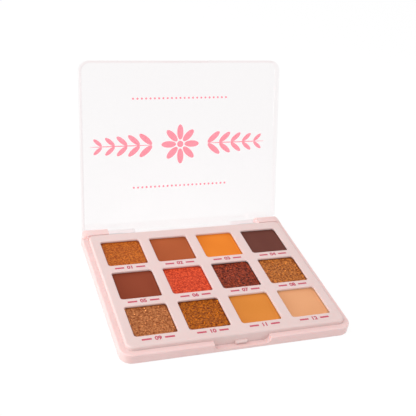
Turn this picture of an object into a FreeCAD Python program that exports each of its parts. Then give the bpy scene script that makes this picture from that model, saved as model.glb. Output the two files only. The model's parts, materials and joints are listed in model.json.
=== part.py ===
import FreeCAD
import Part
import math
import os

# Eyeshadow palette: a moulded base with twelve pressed powder pans under a windowed deck,
# and a clear tray-shaped lid on two steel pins. Millimetres, +Z up, front at -Y.
# The origin is the centre of the underside. The lid is drawn closed and exported open.

V = FreeCAD.Vector

# Pans, powder and the windows that show it
COLUMNS = 4
ROWS = 3
PAN_SIZE = 21.0
PAN_HEIGHT = 2.4
PAN_WALL = 0.35
PAN_FLOOR = 0.4
PAN_CORNER = 1.8
PAN_LIP = 0.6
WINDOW_BAR = 5.2
WINDOW_CORNER = 1.3
WINDOW_EDGE = 0.4
GLUE_DIAMETER = 9.0
GLUE_THICKNESS = 0.3

# Base shell
FLOOR = 1.2
PAD_DIAMETER = 12.0
PAD_HEIGHT = 2.15
RIB = 1.2
LEDGE_SHOWN = 0.8
PLATFORM_RISE = 2.0
BASE_CORNER = 5.5
BOTTOM_EDGE = 0.8
LEDGE_EDGE = 0.6
SLOT_WALL = 1.3
RECESS_WIDTH = 27.0
RECESS_FLOOR = 1.8
RECESS_CORNER = 2.4

# Deck insert
DECK_PLATE = 0.95
SKIRT = 1.3
SIDE_MARGIN = 4.75
FRONT_MARGIN = 6.4
REAR_MARGIN = 6.2
DECK_CORNER = 3.2
DECK_EDGE = 0.85
SEAM = 0.05
BEAD_WIDTH = 5.6
BEAD_HEIGHT = 1.6
BEAD_DROP = 0.5
BEAD_PROUD = 1.35
BEAD_EDGE = 0.6

# Hinge
LUG_RADIUS = 3.4
LUG_LENGTH = 13.7
LUG_SHOULDER = 5.0
LUG_CORNER = 1.5
KNUCKLE_DIAMETER = 5.4
KNUCKLE_LENGTH = 14.0
KNUCKLE_WEB = 2.4
KNUCKLE_PLAY = 0.3
SLOT_PLAY = 0.6
PIN_DIAMETER = 1.6
PIN_IN_KNUCKLE = 10.0
PIN_RECESS = 0.5
RUNNING_FIT = 0.05
OPEN_ANGLE = 111.0
RAIL_DEPTH = 1.0
RAIL_END_PLAY = 0.5
STOP_GAP = 0.08

# Lid
LID_DEPTH = 5.6
LID_PLATE = 1.3
LID_WALL = 1.1
LID_EDGE = 1.2
LID_INNER_EDGE = 0.5
LID_BEHIND_PIN = 0.8
LID_CORNER = 5.3
LID_REAR_CORNER = 3.0
DECK_PLAY = 0.25
FRONT_PLAY = 0.95
SEAT_GAP = 0.1
LUG_GAP = 0.2
WALL_END_GAP = 0.4
TAB_PLAY = 1.0
TAB_GAP = 1.7
NOTCH_PLAY = 0.5

# What follows from the sizes above
WINDOW = PAN_SIZE - 2 * PAN_LIP
PITCH = WINDOW + WINDOW_BAR
DECK_WIDTH = (COLUMNS - 1) * PITCH + WINDOW + 2 * SIDE_MARGIN
DECK_LENGTH = (ROWS - 1) * PITCH + WINDOW + FRONT_MARGIN + REAR_MARGIN
SLOT_DEPTH = LUG_RADIUS + KNUCKLE_DIAMETER / 2 + SLOT_PLAY
LEDGE_WIDTH = LEDGE_SHOWN + LID_WALL + FRONT_PLAY
BASE_WIDTH = DECK_WIDTH + 2 * LEDGE_WIDTH
BASE_DEPTH = LEDGE_WIDTH + DECK_LENGTH + SEAM + SLOT_DEPTH
PAD_TOP = FLOOR + PAD_HEIGHT
PAN_BOTTOM = PAD_TOP + GLUE_THICKNESS
PAN_TOP = PAN_BOTTOM + PAN_HEIGHT
DECK_TOP = PAN_TOP + DECK_PLATE
LEDGE_TOP = DECK_TOP - PLATFORM_RISE
BASE_FRONT = -BASE_DEPTH / 2
BASE_REAR = BASE_DEPTH / 2
DECK_FRONT = BASE_FRONT + LEDGE_WIDTH
DECK_REAR = DECK_FRONT + DECK_LENGTH
SLOT_FRONT = DECK_REAR + SEAM
SLOT_HALF = BASE_WIDTH / 2 - LUG_LENGTH
CAVITY_REAR = SLOT_FRONT - SLOT_WALL
LUG_END = PLATFORM_RISE + LEDGE_EDGE
PIN_Y = BASE_REAR - LUG_RADIUS
PIN_Z = DECK_TOP - LUG_RADIUS
KNUCKLE_OUTER = SLOT_HALF - KNUCKLE_PLAY
KNUCKLE_INNER = KNUCKLE_OUTER - KNUCKLE_LENGTH
LID_HALF = DECK_WIDTH / 2 + DECK_PLAY + LID_WALL
LID_FRONT = BASE_FRONT + LEDGE_SHOWN
LID_REAR = PIN_Y + LID_BEHIND_PIN
LID_RIM = LEDGE_TOP + SEAT_GAP
LID_TOP = LEDGE_TOP + LID_DEPTH
LID_UNDER = LID_TOP - LID_PLATE
TAB_HALF = RECESS_WIDTH / 2 - TAB_PLAY
TAB_BOTTOM = RECESS_FLOOR + TAB_GAP
BEAD_Z = (RECESS_FLOOR + LEDGE_TOP) / 2 - BEAD_DROP
NOTCH_HALF = BEAD_WIDTH / 2 + NOTCH_PLAY
NOTCH_TOP = BEAD_Z + BEAD_HEIGHT / 2 + NOTCH_PLAY
OPEN_SINE = math.sin(math.radians(OPEN_ANGLE))
OPEN_COSINE = math.cos(math.radians(OPEN_ANGLE))
LID_OVER_LUG = PIN_Z + (LUG_RADIUS - LID_BEHIND_PIN * OPEN_COSINE) / OPEN_SINE + LUG_GAP
CUT = 5.0
TOLERANCE = 1e-6


def block(x0, x1, y0, y1, z0, z1):
    """A plain box between two corners."""
    return Part.makeBox(x1 - x0, y1 - y0, z1 - z0, V(x0, y0, z0))


def plate(x0, x1, y0, y1, z0, z1, front_corner, rear_corner):
    """An upright prism on a rectangle whose front and rear corners are rounded."""
    k = 1 - math.sqrt(0.5)
    corners = [
        (V(x1, y0, z0), (-1, 1), front_corner),
        (V(x1, y1, z0), (-1, -1), rear_corner),
        (V(x0, y1, z0), (1, -1), rear_corner),
        (V(x0, y0, z0), (1, 1), front_corner),
    ]
    arcs = []
    for i, (p, (sx, sy), r) in enumerate(corners):
        on_x = p + V(sx * r, 0, 0)
        on_y = p + V(0, sy * r, 0)
        middle = p + V(sx * r * k, sy * r * k, 0)
        ends = (on_x, on_y) if i % 2 == 0 else (on_y, on_x)
        arcs.append((ends[0], middle, ends[1]))
    edges = []
    for i, (start, middle, end) in enumerate(arcs):
        edges.append(Part.Arc(start, middle, end).toShape())
        following = arcs[(i + 1) % len(arcs)][0]
        edges.append(Part.makeLine(end, following))
    return Part.Face(Part.Wire(edges)).extrude(V(0, 0, z1 - z0))


def square(cx, cy, size, corner, z0, z1):
    """An upright prism on a square with four equal round corners."""
    h = size / 2
    return plate(cx - h, cx + h, cy - h, cy + h, z0, z1, corner, corner)


def level_edges(shape, z):
    """The edges of a shape that lie in the level plane at z."""
    found = []
    for edge in shape.Edges:
        box = edge.BoundBox
        if abs(box.ZMin - z) < TOLERANCE and abs(box.ZMax - z) < TOLERANCE:
            found.append(edge)
    return found


def along_x(wire_edges, x0, x1):
    """A profile drawn in the plane x = 0, swept from x0 to x1."""
    face = Part.Face(Part.Wire(wire_edges))
    face.translate(V(x0, 0, 0))
    return face.extrude(V(x1 - x0, 0, 0))


def rod(radius, x0, x1, y, z):
    """A round bar along X."""
    return Part.makeCylinder(radius, x1 - x0, V(x0, y, z), V(1, 0, 0))


def mirrored(shape):
    """The same shape on the other side of the palette."""
    return shape.mirror(V(0, 0, 0), V(1, 0, 0))


def pan_places():
    """The centres of the pans, from the rear left to the front right."""
    places = []
    for row in range(ROWS):
        for column in range(COLUMNS):
            x = (column - (COLUMNS - 1) / 2) * PITCH
            y = DECK_FRONT + FRONT_MARGIN + WINDOW / 2 + (ROWS - 1 - row) * PITCH
            places.append((x, y))
    return places


def lug():
    """The right hinge lug: flat beside the deck, round about the pin, with a sloping shoulder."""
    rear_foot = V(0, BASE_REAR, 0)
    rear_side = V(0, BASE_REAR, PIN_Z)
    crown = V(0, PIN_Y, DECK_TOP)
    diagonal = LUG_RADIUS * math.sqrt(0.5)
    rear_middle = V(0, PIN_Y + diagonal, PIN_Z + diagonal)
    front_foot = V(0, SLOT_FRONT, 0)
    front_top = V(0, SLOT_FRONT, DECK_TOP)
    shared = [
        Part.makeLine(front_foot, rear_foot),
        Part.makeLine(rear_foot, rear_side),
        Part.Arc(rear_side, rear_middle, crown).toShape(),
    ]
    inner = shared + [Part.makeLine(crown, front_top), Part.makeLine(front_top, front_foot)]
    rise = LEDGE_TOP - PIN_Z
    front_round = V(0, PIN_Y - math.sqrt(LUG_RADIUS ** 2 - rise ** 2), LEDGE_TOP)
    front_middle = V(0, PIN_Y - diagonal, PIN_Z + diagonal)
    ledge_start = V(0, SLOT_FRONT, LEDGE_TOP)
    outer = shared + [
        Part.Arc(crown, front_middle, front_round).toShape(),
        Part.makeLine(front_round, ledge_start),
        Part.makeLine(ledge_start, front_foot),
    ]
    deck_half = DECK_WIDTH / 2
    end = BASE_WIDTH / 2
    square_ended = along_x(inner, SLOT_HALF, deck_half).fuse(along_x(outer, deck_half, end))
    start = SLOT_HALF - CUT
    middle = V(end - LUG_SHOULDER, 0, DECK_TOP - LUG_END)
    side_top = middle + V(LUG_SHOULDER, 0, 0)
    shoulder_top = middle + V(0, 0, LUG_END)
    oval = Part.Ellipse(side_top, shoulder_top, middle)
    room = [
        Part.ArcOfEllipse(oval, 0, math.pi / 2).toShape(),
        Part.makeLine(shoulder_top, V(start, 0, DECK_TOP)),
        Part.makeLine(V(start, 0, DECK_TOP), V(start, 0, -CUT)),
        Part.makeLine(V(start, 0, -CUT), V(end, 0, -CUT)),
        Part.makeLine(V(end, 0, -CUT), side_top),
    ]
    room = Part.Face(Part.Wire(room)).extrude(V(0, BASE_REAR + CUT, 0))
    sharp = square_ended.common(room)
    crease = []
    for edge in sharp.Edges:
        box = edge.BoundBox
        sloping = min(box.XLength, box.YLength, box.ZLength) > TOLERANCE
        if sloping and box.YMax < PIN_Y:
            crease.append(edge)
    return sharp.makeFillet(LUG_CORNER, crease)


def stop_rail():
    """The rail behind the slot. Its sloped top meets the lid's rear wall when the lid is open."""
    reach = LID_BEHIND_PIN + STOP_GAP

    def ramp(y):
        return PIN_Z - (reach - (y - PIN_Y) * OPEN_COSINE) / OPEN_SINE

    rail_front = BASE_REAR - RAIL_DEPTH
    outline = [
        V(0, SLOT_FRONT - SLOT_WALL, 0),
        V(0, BASE_REAR, 0),
        V(0, BASE_REAR, ramp(BASE_REAR)),
        V(0, rail_front, ramp(rail_front)),
        V(0, rail_front, FLOOR),
        V(0, SLOT_FRONT - SLOT_WALL, FLOOR),
    ]
    half = KNUCKLE_INNER - RAIL_END_PLAY
    return along_x(Part.makePolygon(outline + outline[:1]).Edges, -half, half)


def base_outline(top, rounded_top):
    """The base's outer prism with its bottom edge rounded, and its top edge too if asked."""
    half = BASE_WIDTH / 2
    body = plate(-half, half, BASE_FRONT, BASE_REAR, 0, top, BASE_CORNER, BASE_CORNER)
    body = body.makeFillet(BOTTOM_EDGE, level_edges(body, 0))
    if rounded_top:
        body = body.makeFillet(LEDGE_EDGE, level_edges(body, top))
    return body


def thumb_recess():
    """The cut in the front wall that bares the lid's tab."""
    half = RECESS_WIDTH / 2
    front = BASE_FRONT - CUT
    cut = block(-half, half, front, DECK_FRONT, RECESS_FLOOR, LEDGE_TOP + CUT)
    lower = []
    for edge in cut.Edges:
        box = edge.BoundBox
        if box.XLength < TOLERANCE and box.ZLength < TOLERANCE and box.ZMax < LEDGE_TOP:
            lower.append(edge)
    return cut.makeFillet(RECESS_CORNER, lower)


def base_shell():
    """The tub: floor, ledge wall, thumb recess, slot wall, lugs, stop rail, ribs and pads."""
    half = BASE_WIDTH / 2
    deck_half = DECK_WIDTH / 2
    wall = block(-half, half, BASE_FRONT, SLOT_FRONT, 0, LEDGE_TOP)
    shell = base_outline(LEDGE_TOP, True).common(wall)
    cavity_half = deck_half + SEAM
    cavity_corner = DECK_CORNER + SEAM
    cavity = plate(-cavity_half, cavity_half, DECK_FRONT - SEAM, CAVITY_REAR, FLOOR,
                   LEDGE_TOP + CUT, cavity_corner, cavity_corner)
    shell = shell.cut(cavity)
    shell = shell.fuse(block(-deck_half, deck_half, CAVITY_REAR, SLOT_FRONT, FLOOR, PAN_TOP))
    right_lug = lug().common(base_outline(DECK_TOP + CUT, False))
    shell = shell.fuse([right_lug, mirrored(right_lug)])
    rail = stop_rail().common(base_outline(DECK_TOP, False))
    shell = shell.fuse(rail)
    shell = shell.cut(thumb_recess())
    ribs = []
    rib_half = deck_half - SKIRT - SEAM
    rib_front = DECK_FRONT + SKIRT + SEAM
    rib_rear = CAVITY_REAR - SEAM - SKIRT - SEAM
    places = pan_places()
    for column in range(COLUMNS - 1):
        x = places[column][0] + PITCH / 2
        ribs.append(block(x - RIB / 2, x + RIB / 2, rib_front, rib_rear, FLOOR, PAN_TOP))
    for row in range(ROWS - 1):
        y = places[row * COLUMNS][1] - PITCH / 2
        ribs.append(block(-rib_half, rib_half, y - RIB / 2, y + RIB / 2, FLOOR, PAN_TOP))
    for x, y in places:
        ribs.append(Part.makeCylinder(PAD_DIAMETER / 2, PAD_HEIGHT, V(x, y, FLOOR)))
    shell = shell.fuse(ribs)
    bores = rod(PIN_DIAMETER / 2, SLOT_HALF - CUT, half + CUT, PIN_Y, PIN_Z)
    shell = shell.cut(bores).cut(mirrored(bores))
    return shell.removeSplitter()


def catch_bead():
    """The rounded bead on the deck's front wall that the notch in the lid's tab closes over."""
    crest = DECK_FRONT - BEAD_PROUD
    bead = block(-BEAD_WIDTH / 2, BEAD_WIDTH / 2, crest, DECK_FRONT, BEAD_Z - BEAD_HEIGHT / 2,
                 BEAD_Z + BEAD_HEIGHT / 2)
    outer = []
    for edge in bead.Edges:
        if edge.BoundBox.YMax < crest + TOLERANCE:
            outer.append(edge)
    return bead.makeFillet(BEAD_EDGE, outer)


def deck_insert():
    """The raised plate with twelve windows, its skirt and the catch bead."""
    half = DECK_WIDTH / 2
    top = plate(-half, half, DECK_FRONT, DECK_REAR, PAN_TOP, DECK_TOP, DECK_CORNER, DECK_CORNER)
    windows = []
    for x, y in pan_places():
        windows.append(square(x, y, WINDOW, WINDOW_CORNER, PAN_TOP - CUT, DECK_TOP + CUT))
    outer_edges = level_edges(top, DECK_TOP)
    top = top.makeFillet(DECK_EDGE, outer_edges).cut(windows)
    rims = []
    for edge in level_edges(top, DECK_TOP):
        middle = edge.BoundBox.Center
        for x, y in pan_places():
            if max(abs(middle.x - x), abs(middle.y - y)) < PITCH / 2:
                rims.append(edge)
    top = top.makeFillet(WINDOW_EDGE, rims)
    rear = CAVITY_REAR - SEAM
    skirt = plate(-half, half, DECK_FRONT, rear, FLOOR, PAN_TOP, DECK_CORNER, DECK_CORNER)
    inside = plate(-half + SKIRT, half - SKIRT, DECK_FRONT + SKIRT, rear - SKIRT, FLOOR - CUT,
                   PAN_TOP + CUT, DECK_CORNER - SKIRT, DECK_CORNER - SKIRT)
    return top.fuse([skirt.cut(inside), catch_bead()]).removeSplitter()


def pan(x, y):
    """A pressed tinplate pan with its rim against the deck's underside."""
    body = square(x, y, PAN_SIZE, PAN_CORNER, PAN_BOTTOM, PAN_TOP)
    return body.cut(square(x, y, PAN_SIZE - 2 * PAN_WALL, PAN_CORNER - PAN_WALL,
                           PAN_BOTTOM + PAN_FLOOR, PAN_TOP + CUT))


def powder(x, y):
    """The pressed cake that fills a pan level with its rim."""
    return square(x, y, PAN_SIZE - 2 * PAN_WALL, PAN_CORNER - PAN_WALL,
                  PAN_BOTTOM + PAN_FLOOR, PAN_TOP)


def glue_dots():
    """A flat dot of hot melt on each pad."""
    dots = []
    for x, y in pan_places():
        dots.append(Part.makeCylinder(GLUE_DIAMETER / 2, GLUE_THICKNESS, V(x, y, PAD_TOP)))
    return Part.makeCompound(dots)


def hinge_pin():
    """The right steel pin, pressed into its lug and running in the lid's knuckle."""
    start = KNUCKLE_OUTER - PIN_IN_KNUCKLE
    return rod(PIN_DIAMETER / 2, start, BASE_WIDTH / 2 - PIN_RECESS, PIN_Y, PIN_Z)


def lid_knuckle():
    """The right knuckle with the web that carries it under the rear wall."""
    barrel = rod(KNUCKLE_DIAMETER / 2, KNUCKLE_INNER, KNUCKLE_OUTER, PIN_Y, PIN_Z)
    web = block(KNUCKLE_INNER, KNUCKLE_OUTER, LID_REAR - KNUCKLE_WEB, LID_REAR, PIN_Z,
                LID_UNDER)
    return barrel.fuse(web)


def lid_closed():
    """The clear tray with its knuckles and thumb tab, shut on the ledge."""
    tray = plate(-LID_HALF, LID_HALF, LID_FRONT, LID_REAR, LID_RIM, LID_TOP, LID_CORNER,
                 LID_REAR_CORNER)
    tray = tray.makeFillet(LID_EDGE, level_edges(tray, LID_TOP))
    hollow = plate(-LID_HALF + LID_WALL, LID_HALF - LID_WALL, LID_FRONT + LID_WALL,
                   LID_REAR - LID_WALL, LID_RIM - CUT, LID_UNDER, LID_CORNER - LID_WALL,
                   LID_REAR_CORNER - LID_WALL)
    hollow = hollow.makeFillet(LID_INNER_EDGE, level_edges(hollow, LID_UNDER))
    tray = tray.cut(hollow)
    over_lug = block(KNUCKLE_OUTER, LID_HALF + CUT, SLOT_FRONT - WALL_END_GAP, LID_REAR + CUT,
                     LID_RIM - CUT, LID_OVER_LUG)
    tray = tray.cut([over_lug, mirrored(over_lug)])
    tab = block(-TAB_HALF, TAB_HALF, LID_FRONT, LID_FRONT + LID_WALL, TAB_BOTTOM, LID_UNDER)
    tab = tab.cut(block(-NOTCH_HALF, NOTCH_HALF, LID_FRONT - CUT, LID_FRONT + LID_WALL + CUT,
                        TAB_BOTTOM - CUT, NOTCH_TOP))
    knuckle = lid_knuckle()
    tray = tray.fuse([tab, knuckle, mirrored(knuckle)])
    bore = rod(PIN_DIAMETER / 2 + RUNNING_FIT, KNUCKLE_INNER - CUT, KNUCKLE_OUTER + CUT, PIN_Y, PIN_Z)
    return tray.cut(bore).cut(mirrored(bore)).removeSplitter()


def lid():
    """The lid turned back about its pins on to its stop."""
    opened = lid_closed()
    opened.rotate(V(0, PIN_Y, PIN_Z), V(1, 0, 0), -OPEN_ANGLE)
    return opened


def export(name, shape):
    """Write one node's STEP file and say what is in it."""
    shape.exportStep("parts/" + name + ".step")
    print(name, "solids", len(shape.Solids), "valid", shape.isValid(), "volume", round(shape.Volume, 3))


def build():
    """Make every piece and write it to parts/."""
    os.makedirs("parts", exist_ok=True)
    export("base_shell", base_shell())
    export("deck_insert", deck_insert())
    export("glue_dots", glue_dots())
    for number, (x, y) in enumerate(pan_places(), start=1):
        export("pan_%02d" % number, pan(x, y))
        export("powder_%02d" % number, powder(x, y))
    pin = hinge_pin()
    export("hinge_pin_right", pin)
    export("hinge_pin_left", mirrored(pin))
    export("lid", lid())


build()
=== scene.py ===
import bmesh
import bpy
import json
import math
import random
from collections import namedtuple
from mathutils import Euler, Matrix, Vector, noise


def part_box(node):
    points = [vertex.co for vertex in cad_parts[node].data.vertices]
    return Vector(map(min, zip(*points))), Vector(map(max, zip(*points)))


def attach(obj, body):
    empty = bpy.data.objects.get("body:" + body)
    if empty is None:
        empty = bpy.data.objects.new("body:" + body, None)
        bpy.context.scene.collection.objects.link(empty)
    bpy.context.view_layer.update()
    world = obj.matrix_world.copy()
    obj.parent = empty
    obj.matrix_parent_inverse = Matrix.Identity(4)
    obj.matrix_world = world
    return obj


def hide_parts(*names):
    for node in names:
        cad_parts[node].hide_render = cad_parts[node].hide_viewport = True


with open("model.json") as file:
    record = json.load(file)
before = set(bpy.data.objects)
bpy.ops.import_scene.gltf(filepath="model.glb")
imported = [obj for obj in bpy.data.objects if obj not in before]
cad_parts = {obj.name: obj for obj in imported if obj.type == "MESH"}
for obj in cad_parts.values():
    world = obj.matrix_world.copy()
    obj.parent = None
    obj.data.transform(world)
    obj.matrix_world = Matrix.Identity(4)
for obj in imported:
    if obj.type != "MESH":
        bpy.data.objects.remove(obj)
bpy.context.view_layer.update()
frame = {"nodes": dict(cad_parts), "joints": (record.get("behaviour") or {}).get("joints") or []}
cad_nodes = frame["nodes"]


# Base shell: the tub that everything sits in, injection moulded in pale peach-pink plastic.
# The mould leaves a satin skin with a very fine grain, and the flow of the melt leaves
# slow changes of tone.
MM = 0.001


class Value:
    """A socket on which sums are written as plain expressions, each one a Math node."""

    def __init__(self, nodes, socket):
        self.nodes = nodes
        self.socket = socket

    def sum(self, operation, first, second):
        return self.nodes.node("Math", {"operation": operation}, {0: first, 1: second})

    def __add__(self, other):
        return self.sum("ADD", self, other)

    def __radd__(self, other):
        return self.sum("ADD", other, self)

    def __sub__(self, other):
        return self.sum("SUBTRACT", self, other)

    def __rsub__(self, other):
        return self.sum("SUBTRACT", other, self)

    def __mul__(self, other):
        return self.sum("MULTIPLY", self, other)

    def __rmul__(self, other):
        return self.sum("MULTIPLY", other, self)

    def __pow__(self, other):
        return self.sum("POWER", self, other)

    def beside(self, output):
        """Another output of the node that this one comes from."""
        return Value(self.nodes, self.socket.node.outputs[output])


class Nodes:
    """The node tree of a material or of the world, with one way of adding any node."""

    def __init__(self, owner):
        owner.use_nodes = True
        self.tree = owner.node_tree

    def feed(self, made, sockets):
        """Set or link the sockets of a node."""
        for key, value in sockets.items():
            socket = made.inputs[key]
            if isinstance(value, Value):
                self.tree.links.new(value.socket, socket)
            elif isinstance(value, tuple) and len(socket.default_value) == 4:
                socket.default_value = (*value, 1.0)
            else:
                socket.default_value = value

    def node(self, kind, settings, sockets, output=0):
        """Add a node with its settings and sockets, and give one of its outputs."""
        made = self.tree.nodes.new("ShaderNode" + kind)
        for name, value in settings.items():
            setattr(made, name, value)
        self.feed(made, sockets)
        return Value(self, made.outputs[output] if made.outputs else None)


class Finish(Nodes):
    """A surface's material: a Principled shader fed by patterns on Object coordinates."""

    def __init__(self, name):
        self.material = bpy.data.materials.new(name)
        super().__init__(self.material)
        self.shader = self.tree.nodes["Principled BSDF"]
        self.place = self.node("TexCoord", {}, {}, "Object")

    def cloud(self, size, detail=2.0):
        """Soft noise from 0 to 1 with blotches of about the given size."""
        return self.node("TexNoise", {}, {"Vector": self.place, "Scale": 1 / size, "Detail": detail})

    def streaks(self, size, stretch, detail):
        """The same noise squeezed along the axes by the given factors."""
        squeezed = self.node("Mapping", {}, {"Vector": self.place, "Scale": stretch})
        return self.node("TexNoise", {}, {"Vector": squeezed, "Scale": 1 / size, "Detail": detail})

    def specks(self, size):
        """One random tone from 0 to 1 for each grain of the given size."""
        return self.node("TexVoronoi", {}, {"Vector": self.place, "Scale": 1 / size}, "Color")

    def mix(self, share, first, second):
        """A colour between two others."""
        return self.node("Mix", {"data_type": "RGBA"}, {0: share, 6: first, 7: second}, 2)

    def bump(self, height, depth):
        """A surface normal for relief of the given depth."""
        return self.node("Bump", {}, {"Height": height, "Distance": depth}, "Normal")

    def shade(self, sockets):
        """Set or link the shader's own sockets."""
        self.feed(self.shader, sockets)


def tint(red, green, blue):
    """A colour on the screen's sRGB scale of 0 to 255, as the light that it stands for."""
    linear = []
    for level in (red, green, blue):
        share = level / 255
        linear.append(share / 12.92 if share <= 0.04045 else ((share + 0.055) / 1.055) ** 2.4)
    return tuple(linear)


def dress(node, finish):
    """Give a CAD node its finish."""
    for slot in cad_nodes[node].material_slots:
        slot.material = finish.material


PEACH_DEEP = tint(234, 200, 197)
PEACH_LIGHT = tint(241, 210, 207)
PEACH_FLOW = 16 * MM
PEACH_GRAIN = 0.22 * MM
PEACH_RELIEF = 0.006 * MM

peach = Finish("peach_moulding")
peach_flow = peach.cloud(PEACH_FLOW)
peach_grain = peach.cloud(PEACH_GRAIN)
peach.shade({
    "Base Color": peach.mix(peach_flow, PEACH_DEEP, PEACH_LIGHT),
    "Roughness": 0.3 + 0.12 * peach_grain,
    "Normal": peach.bump(peach_grain, PEACH_RELIEF),
    "Subsurface Weight": 0.25,
    "Subsurface Radius": (1.0, 0.55, 0.45),
    "Subsurface Scale": 1.2 * MM,
})
dress("base_shell", peach)


# Glue dots: drops of hot melt put on the pads, pressed flat by the pans while still soft.
# They set to a cloudy amber with a smooth skin.
AMBER_DEEP = tint(226, 205, 160)
AMBER_LIGHT = tint(244, 232, 200)
AMBER_CLOUD = 1.5 * MM
AMBER_RELIEF = 0.05 * MM

amber = Finish("hot_melt")
amber_cloud = amber.cloud(AMBER_CLOUD)
amber.shade({
    "Base Color": amber.mix(amber_cloud, AMBER_DEEP, AMBER_LIGHT),
    "Roughness": 0.25 + 0.2 * amber_cloud,
    "Normal": amber.bump(amber_cloud, AMBER_RELIEF),
})
dress("glue_dots", amber)


# Pans: tinplate pressed into square trays, bare metal with a fine rolled grain.
# Each one stands on its glue dot, with its rim under the deck.
PAN_COUNT = 12
TINPLATE_DEEP = tint(176, 176, 180)
TINPLATE_LIGHT = tint(214, 213, 212)
ROLLING_SIZE = 4 * MM
ROLLING_STRETCH = (40.0, 1.0, 1.0)
ROLLING_RELIEF = 0.004 * MM

tinplate = Finish("tinplate")
rolling = tinplate.streaks(ROLLING_SIZE, ROLLING_STRETCH, 3.0)
tinplate.shade({
    "Base Color": tinplate.mix(rolling, TINPLATE_DEEP, TINPLATE_LIGHT),
    "Metallic": 1.0,
    "Roughness": 0.22 + 0.2 * rolling,
    "Normal": tinplate.bump(rolling, ROLLING_RELIEF),
})
for number in range(1, PAN_COUNT + 1):
    dress("pan_%02d" % number, tinplate)


# Powder cakes: loose powder pressed into the pans until it holds as a block with a dished face.
# Matte shades press smooth, pearly ones keep a pebbled face and glitters a coarse one. Pearls
# and glitters carry flakes that lie in the surface at all angles.
CAKE_CELLS = 90
CAKE_CORNER = 1.45 * MM
CAKE_SINK = 0.55 * MM
CAKE_BRIM = 1.8 * MM
# Painted shade: a band along each window's edge where the powder's colour is darkened, for the shade
# under the deck's lip
SHADED_RIM_WIDTH = 0.8 * MM
RIM_SHADE_FACTOR = 0.7
SQUARENESS = 8.0
WINDOW_HALF = 9.9 * MM
UNEVENNESS = 14 * MM
PEBBLE_STEEPNESS = 3
FLAKE_SIDES = 6
FLAKE_TILT = 0.4
FLAKE_TAPER = 0.8
FLAKE_THICKNESS = 0.25
FLAKE_SMALLEST = 0.5
FLAKE_TONE_SIZE = 0.5 * MM
FLAKE_SHINE = 1.35

# Shares of a texture's grain and of its relief
FINE_GRAIN = 0.4
SPECK_GRAIN = 0.25
PEBBLE_GRAIN = 0.75
DUST_GRAIN = 0.3
DUST_RELIEF = 0.25
COARSE_RELIEF = 0.7
FINE_RELIEF = 0.3

Texture = namedtuple("Texture", "grain relief metal flake_radius")
TEXTURES = {
    "matte": Texture(grain=0.45 * MM, relief=0.02 * MM, metal=0.0, flake_radius=0.0),
    "pearl": Texture(grain=1.1 * MM, relief=0.1 * MM, metal=0.3, flake_radius=0.22 * MM),
    "glitter": Texture(grain=1.4 * MM, relief=0.22 * MM, metal=0.4, flake_radius=0.36 * MM),
}
# Texture, deepest tone, lightest tone and number of flakes, from the rear left to the front right
SHADES = [
    ("pearl", tint(154, 62, 2), tint(212, 121, 38), 260),
    ("matte", tint(171, 85, 46), tint(187, 97, 55), 0),
    ("matte", tint(226, 127, 36), tint(236, 141, 47), 0),
    ("matte", tint(105, 57, 48), tint(117, 67, 57), 0),
    ("matte", tint(136, 59, 36), tint(150, 70, 45), 0),
    ("pearl", tint(182, 44, 16), tint(238, 95, 52), 160),
    ("glitter", tint(64, 6, 0), tint(170, 70, 42), 260),
    ("glitter", tint(124, 54, 8), tint(208, 127, 56), 260),
    ("glitter", tint(140, 68, 27), tint(204, 132, 80), 260),
    ("glitter", tint(116, 45, 0), tint(200, 111, 22), 260),
    ("matte", tint(212, 132, 49), tint(225, 145, 64), 0),
    ("matte", tint(222, 161, 115), tint(232, 173, 127), 0),
]


def model(name, shape, material):
    """Make an object of a finished bmesh, in place."""
    mesh = bpy.data.meshes.new(name)
    shape.to_mesh(mesh)
    shape.free()
    mesh.materials.append(material)
    made = bpy.data.objects.new(name, mesh)
    bpy.context.scene.collection.objects.link(made)
    return made


def piece(name, shape, finish, body):
    """Make a piece of the palette that rides on a body."""
    made = model(name, shape, finish.material)
    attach(made, body)
    return made


def square_out(x, y):
    """How far out a place is, the same all round a square with rounded corners."""
    return (x ** SQUARENESS + y ** SQUARENESS) ** (1 / SQUARENESS)


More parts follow.
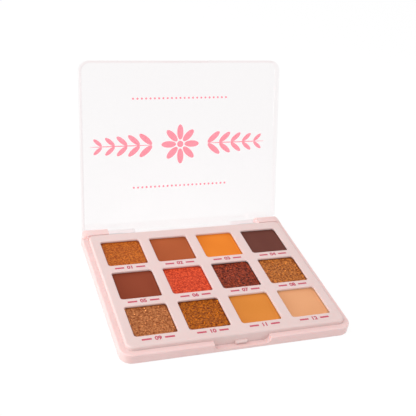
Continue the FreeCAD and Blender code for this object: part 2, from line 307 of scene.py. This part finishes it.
class Cake:
    """One pressed block: where it lies in its pan, and the relief of its face."""

    def __init__(self, node, texture):
        self.low, self.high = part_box(node)
        self.middle = (self.low + self.high) / 2
        self.half = (self.high.x - self.low.x) / 2
        self.texture = texture

    def face(self, x, y):
        """The height of the face at a place measured from the middle of the cake."""
        grain = self.texture.grain
        pebble = noise.noise(Vector((x + self.middle.x, y + self.middle.y, 0)) / grain)
        coarse = 1 - PEBBLE_STEEPNESS * abs(pebble)
        fine = noise.noise(Vector((y + self.middle.y, x + self.middle.x, 1)) / (FINE_GRAIN * grain))
        inside = self.half - square_out(x, y)
        flat = min(1.0, max(0.0, inside / CAKE_BRIM))
        drop = CAKE_SINK * flat * flat * (3 - 2 * flat)
        relief = COARSE_RELIEF * coarse + FINE_RELIEF * fine - 1
        return self.high.z - drop + self.texture.relief * relief / 2

    def block(self):
        """The cake's mesh: a grid with round corners, given relief and walls."""
        shape = bmesh.new()
        bmesh.ops.create_grid(shape, x_segments=CAKE_CELLS, y_segments=CAKE_CELLS, size=self.half)
        straight = self.half - CAKE_CORNER
        for vert in shape.verts:
            x, y = vert.co.xy
            over_x = abs(x) - straight
            over_y = abs(y) - straight
            if min(over_x, over_y) > 0:
                share = max(over_x, over_y) / math.hypot(over_x, over_y)
                x = math.copysign(straight + over_x * share, x)
                y = math.copysign(straight + over_y * share, y)
            vert.co = Vector((self.middle.x + x, self.middle.y + y, self.face(x, y)))
        for face in shape.faces:
            face.smooth = True
        rim = [edge for edge in shape.edges if edge.is_boundary]
        walls = bmesh.ops.extrude_edge_only(shape, edges=rim)["geom"]
        foot = [part for part in walls if isinstance(part, bmesh.types.BMVert)]
        for vert in foot:
            vert.co.z = self.low.z
        foot_edges = [part for part in walls if isinstance(part, bmesh.types.BMEdge)]
        bmesh.ops.contextual_create(shape, geom=foot_edges)
        bmesh.ops.recalc_face_normals(shape, faces=shape.faces)
        return shape

    def flakes(self, count):
        """Thin six-sided flakes scattered over the part of the face that shows."""
        shape = bmesh.new()
        radius = self.texture.flake_radius
        reach = WINDOW_HALF - radius
        for flake in range(count):
            x = random.uniform(-reach, reach)
            y = random.uniform(-reach, reach)
            place = Vector((self.middle.x + x, self.middle.y + y, self.face(x, y)))
            lean = (random.gauss(0, FLAKE_TILT), random.gauss(0, FLAKE_TILT), random.uniform(0, math.pi))
            size = radius * random.uniform(FLAKE_SMALLEST, 1.0)
            turn = Matrix.Translation(place) @ Euler(lean).to_matrix().to_4x4()
            bmesh.ops.create_cone(shape, cap_ends=True, segments=FLAKE_SIDES, radius1=size,
                                  radius2=FLAKE_TAPER * size, depth=FLAKE_THICKNESS * size, matrix=turn)
        return shape


def powder_finish(name, kind, deep, light, middle):
    """Pressed pigment: lighter and deeper specks or slow unevenness, and painted shade darkening the
    rim.
    """
    texture = TEXTURES[kind]
    powder = Finish(name)
    # The weights of the patterns keep the mean tone halfway between the two colours
    if kind == "matte":
        tone = 1.3 * powder.cloud(UNEVENNESS, 0.0) + 0.5 * powder.cloud(texture.grain, 3.0) - 0.4
        roughness = 0.92
    else:
        # The lighter specks are partly painted glints of the shimmer grains, partly grains of a lighter
        # tone of their own
        speck = powder.specks(SPECK_GRAIN * texture.grain)
        tone = 0.7 * speck + 3.4 * powder.cloud(PEBBLE_GRAIN * texture.grain, 4.0) - 1.55
        roughness = 0.6 - 0.25 * speck
    # Painted shade: a deeper colour mixed in near the window's edge, standing for the shade under the
    # deck's lip
    away = powder.node("VectorMath", {"operation": "SUBTRACT"}, {0: powder.place, 1: tuple(middle)})
    across = powder.node("SeparateXYZ", {}, {0: away}, "X")
    out = square_out(across * (1 / WINDOW_HALF), across.beside("Y") * (1 / WINDOW_HALF))
    rim = (out - (1 - SHADED_RIM_WIDTH / WINDOW_HALF)) * (WINDOW_HALF / SHADED_RIM_WIDTH)
    rim_shade_colour = tuple(RIM_SHADE_FACTOR * level for level in deep)
    powder.shade({
        "Base Color": powder.mix(rim, powder.mix(tone, deep, light), rim_shade_colour),
        "Metallic": texture.metal,
        "Roughness": roughness,
        "Diffuse Roughness": 1.0,
        "Specular IOR Level": 0.2,
        "Normal": powder.bump(powder.cloud(DUST_GRAIN * texture.grain), DUST_RELIEF * texture.relief),
    })
    return powder


def flake_finish(name, light):
    """Metal-coated film, each flake with a tone of its own."""
    film = Finish(name)
    own = film.specks(FLAKE_TONE_SIZE)
    pale = tuple(min(1.0, FLAKE_SHINE * level) for level in light)
    film.shade({
        "Base Color": film.mix(own * own, light, pale),
        "Metallic": 1.0,
        "Roughness": 0.18 + 0.2 * own,
    })
    return film


for number, (kind, deep, light, flake_count) in enumerate(SHADES, start=1):
    node = "powder_%02d" % number
    cake = Cake(node, TEXTURES[kind])
    powder = powder_finish(node, kind, deep, light, cake.middle)
    pressed = piece("cake_%02d" % number, cake.block(), powder, "base")
    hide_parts(node)
    if flake_count:
        random.seed(number)
        film = flake_finish("flake_film_%02d" % number, light)
        scattered = piece("flakes_%02d" % number, cake.flakes(flake_count), film, "base")


# Deck insert: the raised plate with twelve windows, moulded in a slightly cooler pink.
# Its face has the fine matt texture of a spark-eroded mould, and it drops into the tub.
BLUSH_DEEP = tint(224, 199, 195)
BLUSH_LIGHT = tint(231, 206, 203)
BLUSH_FLOW = 22 * MM
BLUSH_GRAIN = 0.16 * MM
BLUSH_RELIEF = 0.008 * MM

blush = Finish("blush_moulding")
blush_flow = blush.cloud(BLUSH_FLOW)
blush_grain = blush.cloud(BLUSH_GRAIN)
blush.shade({
    "Base Color": blush.mix(blush_flow, BLUSH_DEEP, BLUSH_LIGHT),
    "Roughness": 0.45 + 0.15 * blush_grain,
    "Normal": blush.bump(blush_grain, BLUSH_RELIEF),
    "Subsurface Weight": 0.2,
    "Subsurface Radius": (1.0, 0.55, 0.5),
    "Subsurface Scale": 1.0 * MM,
})
dress("deck_insert", blush)


# Shade numbers: pad printed in red-pink ink under each window, between two short rules.
# The ink stands a few hundredths of a millimetre proud of the deck.
INK = 0.03 * MM
NUMBER_SIZE = 3.1 * MM
NUMBER_WEIGHT = 0.13 * MM
NUMBER_BELOW = 2.55 * MM
RULE_LENGTH = 4.4 * MM
RULE_WIDTH = 1.0 * MM
RULE_START = 3.0 * MM
RED_DEEP = tint(190, 62, 86)
RED_LIGHT = tint(204, 84, 106)
RED_COVER = 0.3 * MM

red_ink = Finish("red_ink")
red_cover = red_ink.cloud(RED_COVER)
red_ink.shade({
    "Base Color": red_ink.mix(red_cover, RED_DEEP, RED_LIGHT),
    "Roughness": 0.4 + 0.2 * red_cover,
})


def digits(text, size):
    """A flat number as a mesh about the origin, an ink film thick."""
    words = bpy.data.curves.new("digits", "FONT")
    words.body = text
    words.size = size
    words.align_x = "CENTER"
    words.align_y = "CENTER"
    words.bevel_depth = NUMBER_WEIGHT
    words.bevel_resolution = 0
    shown = bpy.data.objects.new("digits", words)
    mesh = bpy.data.meshes.new_from_object(shown)
    bpy.data.objects.remove(shown)
    mesh.transform(Matrix.Diagonal((1, 1, INK / (2 * NUMBER_WEIGHT), 1)))
    return mesh


deck_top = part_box("deck_insert")[1].z
printed = bmesh.new()
for number in range(1, PAN_COUNT + 1):
    low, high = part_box("powder_%02d" % number)
    middle = (low + high) / 2
    below = Vector((middle.x, middle.y - WINDOW_HALF - NUMBER_BELOW, deck_top + INK / 2))
    mesh = digits("%02d" % number, NUMBER_SIZE)
    mesh.transform(Matrix.Translation(below))
    printed.from_mesh(mesh)
    bpy.data.meshes.remove(mesh)
    for side in (-1, 1):
        along = below + Vector((side * (RULE_START + RULE_LENGTH / 2), 0, 0))
        rule = Matrix.Translation(along) @ Matrix.Diagonal((RULE_LENGTH, RULE_WIDTH, INK, 1))
        bmesh.ops.create_cube(printed, size=1, matrix=rule)
piece("shade_numbers", printed, red_ink, "base")


# Hinge pins: lengths of drawn steel wire pushed through the lugs into the lid's knuckles.
# Drawing leaves fine lines along the wire, and a thin plating keeps it bright.
STEEL_DEEP = tint(214, 213, 212)
STEEL_LIGHT = tint(240, 239, 238)
DRAWING_SIZE = 6 * MM
DRAWING_STRETCH = (1.0, 60.0, 60.0)

steel = Finish("drawn_steel")
drawing = steel.streaks(DRAWING_SIZE, DRAWING_STRETCH, 2.0)
steel.shade({
    "Base Color": steel.mix(drawing, STEEL_DEEP, STEEL_LIGHT),
    "Metallic": 1.0,
    "Roughness": 0.2 + 0.2 * drawing,
})
dress("hinge_pin_left", steel)
dress("hinge_pin_right", steel)


# Lid: a shallow tray moulded in clear polished plastic, with its knuckles and thumb tab.
# It is nearly colourless, with faint handling marks that show only as a softer gloss.
CLEAR_TINT = (0.95, 0.948, 0.95)
CLEAR_TO_LAMPS = (0.995, 0.995, 0.995)
CLEAR_DEPTH_TINT = (0.86, 0.62, 0.63)
CLEAR_DENSITY = 54.0
SMUDGE_SIZE = 9 * MM

clear = Finish("clear_moulding")
smudge = clear.cloud(SMUDGE_SIZE, 4.0)
clear.shade({
    "Base Color": CLEAR_TINT,
    "Roughness": 0.04 * smudge ** 3.0,
    "IOR": 1.0,
    "Transmission Weight": 1.0,
    "Coat Weight": 1.0,
    "Coat Roughness": 0.03,
})
light_through = clear.node("BsdfTransparent", {}, {"Color": CLEAR_TO_LAMPS})
shadow_ray = clear.node("LightPath", {}, {}, "Is Shadow Ray")
plastic = Value(clear, clear.shader.outputs["BSDF"])
letting_light = clear.node("MixShader", {}, {0: shadow_ray, 1: plastic, 2: light_through})
absorbing = clear.node("VolumeAbsorption", {}, {"Color": CLEAR_DEPTH_TINT, "Density": CLEAR_DENSITY})
clear.feed(clear.tree.nodes["Material Output"], {"Surface": letting_light, "Volume": absorbing})
dress("lid", clear)


# Lid print: a band of leaves about a rosette, screen printed in pink on the outer face.
# With the lid open it is seen from behind, through the clear plate.
ROSETTE_PETALS = 8
ROSETTE_EYE = 1.7 * MM
PETAL_LENGTH = 8.0 * MM
PETAL_WIDTH = 3.4 * MM
PETAL_GAP = 0.6 * MM
LEAF_PAIRS = 5
LEAF_LENGTH = 8.6 * MM
LEAF_WIDTH = 3.0 * MM
LEAF_STEP = 6.6 * MM
LEAF_START = 15.0 * MM
LEAF_ANGLE = 40.0
LEAF_SHRINK = 0.09
STEM_WIDTH = 0.55 * MM
BAND_Y = -2.0 * MM
DOT_ROWS = (-26.0 * MM, 20.0 * MM)
DOT_COUNT = 23
DOT_STEP = 2.3 * MM
DOT_RADIUS = 0.55 * MM
OVAL_SIDES = 28
PINK_DEEP = tint(244, 118, 136)
PINK_LIGHT = tint(250, 134, 150)
PINK_COVER = 0.5 * MM

pink_ink = Finish("pink_ink")
pink_cover = pink_ink.cloud(PINK_COVER)
pink_ink.shade({
    "Base Color": pink_ink.mix(pink_cover, PINK_DEEP, PINK_LIGHT),
    "Roughness": 0.35 + 0.2 * pink_cover,
})

hinge = frame["joints"][0]
pin = Matrix.Translation(Vector(hinge["pos_m"]))
swing = -math.radians(hinge["range_deg"][1])
opened = pin @ Matrix.Rotation(swing, 4, Vector(hinge["axis"])) @ pin.inverted()
shut = opened.inverted()
lid_top = max((shut @ vert.co).z for vert in cad_nodes["lid"].data.vertices)
ornament = bmesh.new()


def oval(x, y, length, width, angle):
    """A flat oval of ink on the closed lid, its length turned from X by an angle in degrees."""
    place = Matrix.Translation((x, y, lid_top + INK)) @ Matrix.Rotation(math.radians(angle), 4, "Z")
    sized = place @ Matrix.Diagonal((length / 2, width / 2, INK, 1))
    bmesh.ops.create_cone(ornament, cap_ends=True, segments=OVAL_SIDES, radius1=1, radius2=1, depth=1,
                          matrix=sized)


def towards(angle, out):
    """The x and y of a place that lies so far out at an angle in degrees."""
    return out * math.cos(math.radians(angle)), out * math.sin(math.radians(angle))


oval(0, BAND_Y, 2 * ROSETTE_EYE, 2 * ROSETTE_EYE, 0)
for petal in range(ROSETTE_PETALS):
    angle = 360 / ROSETTE_PETALS * petal
    x, y = towards(angle, ROSETTE_EYE + PETAL_GAP + PETAL_LENGTH / 2)
    oval(x, BAND_Y + y, PETAL_LENGTH, PETAL_WIDTH, angle)
for side in (-1, 1):
    for pair in range(LEAF_PAIRS):
        root = LEAF_START + pair * LEAF_STEP
        size = 1 - LEAF_SHRINK * pair
        for angle in (-LEAF_ANGLE, LEAF_ANGLE):
            x, y = towards(angle, 0.5 * LEAF_LENGTH * size + STEM_WIDTH)
            turn = angle if side > 0 else 180 - angle
            oval(side * (root + x), BAND_Y + y, LEAF_LENGTH * size, LEAF_WIDTH * size, turn)
    stem = LEAF_STEP * LEAF_PAIRS
    oval(side * (LEAF_START + stem / 2), BAND_Y, stem, STEM_WIDTH, 0)
for row in DOT_ROWS:
    for dot in range(DOT_COUNT):
        oval((dot - (DOT_COUNT - 1) / 2) * DOT_STEP, row, 2 * DOT_RADIUS, 2 * DOT_RADIUS, 0)
bmesh.ops.transform(ornament, matrix=opened, verts=ornament.verts)
piece("lid_print", ornament, pink_ink, "lid")


# Studio: a pale floor and white surroundings, a large soft light from the upper left, a
# weaker one from the right and one low on the left, with the camera at the photograph's
# viewing angle.
WHITE = (1.0, 1.0, 1.0)
FLOOR_HALF = 3.0
FLOOR_GAP = 0.02 * MM
FLOOR_COLOUR = (0.8, 0.8, 0.8)
FLOOR_GLOW = 0.92
FLOOR_SHADOW = (0.1, 0.1, 0.1)
AMBIENT = 0.62
BACKDROP = 1.0
# Place and width in metres, and power in watts
LAMPS = {
    "key": ((-0.5, -0.1, 0.62), 0.5, 2.6),
    "fill": ((0.66, -0.46, 0.36), 0.45, 1.35),
    "side": ((-0.62, 0.05, 0.1), 0.3, 1.7),
}
VIEW_AZIMUTH = -23.755
VIEW_ELEVATION = 32.182
VIEW_ROLL = 9.242
VIEW_DISTANCE = 439.731 * MM
VIEW_TARGET = Vector((22.119, 66.349, 0.0)) * MM
VIEW_LENS = 67.385


def seen(nodes):
    """Whether a ray comes from the camera, a reflection or through something clear."""
    camera_ray = nodes.node("LightPath", {}, {}, "Is Camera Ray")
    return camera_ray + camera_ray.beside("Is Glossy Ray") + camera_ray.beside("Is Transmission Ray")


floor_material = bpy.data.materials.new("pale_floor")
floor_nodes = Nodes(floor_material)
floor_nodes.tree.nodes.clear()
lit = floor_nodes.node("BsdfDiffuse", {}, {"Color": FLOOR_COLOUR})
glow = floor_nodes.node("Emission", {}, {"Color": WHITE, "Strength": FLOOR_GLOW})
shadow = floor_nodes.node("BsdfDiffuse", {}, {"Color": FLOOR_SHADOW})
pale = floor_nodes.node("AddShader", {}, {0: glow, 1: shadow})
ground = floor_nodes.node("MixShader", {}, {0: seen(floor_nodes), 1: lit, 2: pale})
floor_nodes.node("OutputMaterial", {}, {"Surface": ground})
floor_shape = bmesh.new()
bmesh.ops.create_grid(floor_shape, x_segments=1, y_segments=1, size=FLOOR_HALF,
                      matrix=Matrix.Translation((0, 0, -FLOOR_GAP)))
floor = model("floor", floor_shape, floor_material)

world = bpy.data.worlds.new("studio")
bpy.context.scene.world = world
world_nodes = Nodes(world)
world_nodes.tree.nodes.clear()
soft = world_nodes.node("Background", {}, {"Color": WHITE, "Strength": AMBIENT})
plain = world_nodes.node("Background", {}, {"Color": WHITE, "Strength": BACKDROP})
around = world_nodes.node("MixShader", {}, {0: seen(world_nodes), 1: soft, 2: plain})
world_nodes.node("OutputWorld", {}, {"Surface": around})

deck_middle = Vector((0, 0, deck_top))
for name, (place, width, power) in LAMPS.items():
    light = bpy.data.lights.new(name, "AREA")
    light.size = width
    light.energy = power
    lamp = bpy.data.objects.new(name, light)
    lamp.location = place
    lamp.rotation_euler = (deck_middle - Vector(place)).to_track_quat("-Z", "Y").to_euler()
    bpy.context.scene.collection.objects.link(lamp)

azimuth = math.radians(VIEW_AZIMUTH)
elevation = math.radians(VIEW_ELEVATION)
back = Vector((math.sin(azimuth) * math.cos(elevation), -math.cos(azimuth) * math.cos(elevation),
               math.sin(elevation)))
level = back.to_track_quat("Z", "Y").to_matrix().to_4x4()
camera_data = bpy.data.cameras.new("camera")
camera_data.lens = VIEW_LENS
camera = bpy.data.objects.new("camera", camera_data)
camera.matrix_world = (Matrix.Translation(VIEW_TARGET + back * VIEW_DISTANCE) @ level
                       @ Matrix.Rotation(math.radians(VIEW_ROLL), 4, "Z"))
bpy.context.scene.collection.objects.link(camera)
bpy.context.scene.camera = camera
bpy.context.scene.view_settings.view_transform = "Standard"
